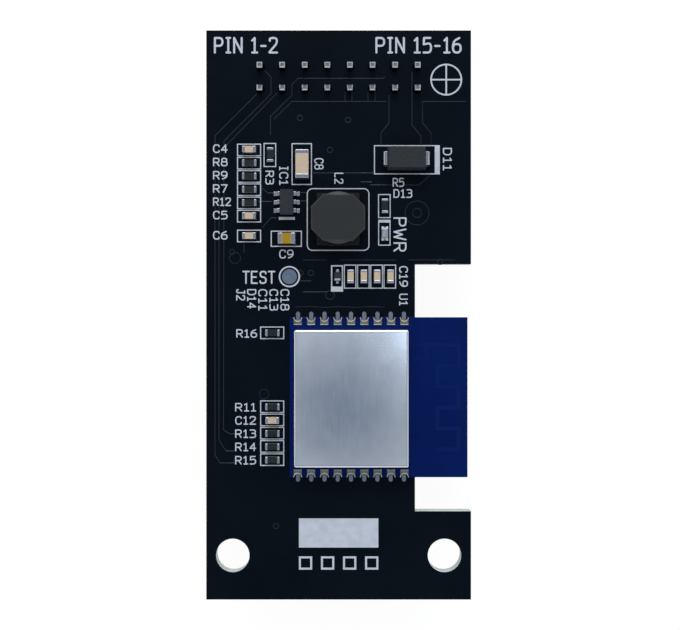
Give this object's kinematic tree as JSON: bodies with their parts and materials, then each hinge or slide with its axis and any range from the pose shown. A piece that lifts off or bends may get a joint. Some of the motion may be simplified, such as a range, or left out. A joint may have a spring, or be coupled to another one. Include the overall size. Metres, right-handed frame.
{
  "type": "wireless radio module board",
  "caption": "Small black circuit board with a blue edge-contact radio module under a metal shield, its power supply parts, a pin header below and two screw holes.",
  "frame": {"origin": "midway between the two screw holes, on the board's underside", "axes": "+Z out of the component side, +Y along the board from the screw holes to the pin header, +X to the right when the component side faces the viewer with the header at the top"},
  "size_m": [0.03, 0.0645, 0.0134],
  "materials": {
    "solder_mask": "black solder mask over glass-fibre laminate",
    "tinned_copper": "copper lands under a thin tin finish",
    "printed_ink": "screen-printed white epoxy ink",
    "housing_plastic": "moulded black glass-filled nylon",
    "tinned_pin": "tin-plated bronze",
    "module_mask": "blue solder mask over glass-fibre laminate",
    "module_plating": "copper with a thin gold finish",
    "shield_sheet": "drawn nickel-silver sheet, satin",
    "chip_resin": "moulded black epoxy resin",
    "tinned_lead": "tin-plated copper alloy, satin",
    "ceramic_tub": "pressed alumina",
    "crystal_lid": "gold-flashed steel lid",
    "capacitor_ceramic": "fired barium titanate, fine matt",
    "ochre_ceramic": "fired ochre ceramic, fine matt",
    "resistor_ceramic": "alumina with a black glass coat on top",
    "ferrite": "pressed and fired ferrite, fine matt",
    "enamelled_copper": "enamelled copper wire",
    "inductor_resin": "moulded black phenolic resin",
    "lamp_laminate": "white glass-fibre laminate",
    "lamp_lens": "clear moulded epoxy lens"
  },
  "bodies": {
    "root": {"circuit_board": "solder_mask", "header_housing": "housing_plastic", "header_pins": "tinned_pin", "module_board": "module_mask", "module_contacts": "module_plating", "antenna_trace": "module_mask", "shield_can": "shield_sheet", "radio_chip": "chip_resin", "radio_chip_leads": "tinned_lead", "memory_chip": "chip_resin", "memory_chip_leads": "tinned_lead", "crystal_tub": "ceramic_tub", "crystal_lid": "crystal_lid", "shielded_capacitors": "capacitor_ceramic", "shielded_capacitor_ends": "tinned_lead", "inductor_core": "ferrite", "inductor_winding": "enamelled_copper", "inductor_base": "inductor_resin", "inductor_terminals": "tinned_lead", "power_diode": "chip_resin", "power_diode_leads": "tinned_lead", "small_diode": "chip_resin", "small_diode_leads": "tinned_lead", "regulator": "chip_resin", "regulator_leads": "tinned_lead", "lamp_base": "lamp_laminate", "lamp_lens": "lamp_lens", "lamp_terminals": "tinned_lead", "input_capacitor": "capacitor_ceramic", "input_capacitor_ends": "tinned_lead", "output_capacitor": "ochre_ceramic", "output_capacitor_ends": "tinned_lead", "chip_capacitor_ends": "tinned_lead", "chip_resistor_ends": "tinned_lead", "module_lands": "tinned_copper", "part_lands": "tinned_copper", "test_pad": "tinned_copper", "component_frames": "printed_ink", "printed_marks": "printed_ink", "chip_capacitor_1": "capacitor_ceramic", "chip_capacitor_2": "capacitor_ceramic", "chip_capacitor_3": "capacitor_ceramic", "chip_capacitor_4": "capacitor_ceramic", "chip_capacitor_5": "capacitor_ceramic", "chip_capacitor_6": "capacitor_ceramic", "chip_capacitor_7": "capacitor_ceramic", "chip_capacitor_8": "capacitor_ceramic", "chip_resistor_1": "resistor_ceramic", "chip_resistor_2": "resistor_ceramic", "chip_resistor_3": "resistor_ceramic", "chip_resistor_4": "resistor_ceramic", "chip_resistor_5": "resistor_ceramic", "chip_resistor_6": "resistor_ceramic", "chip_resistor_7": "resistor_ceramic", "chip_resistor_8": "resistor_ceramic", "chip_resistor_9": "resistor_ceramic", "chip_resistor_10": "resistor_ceramic", "chip_resistor_11": "resistor_ceramic"}
  },
  "joints": []
}
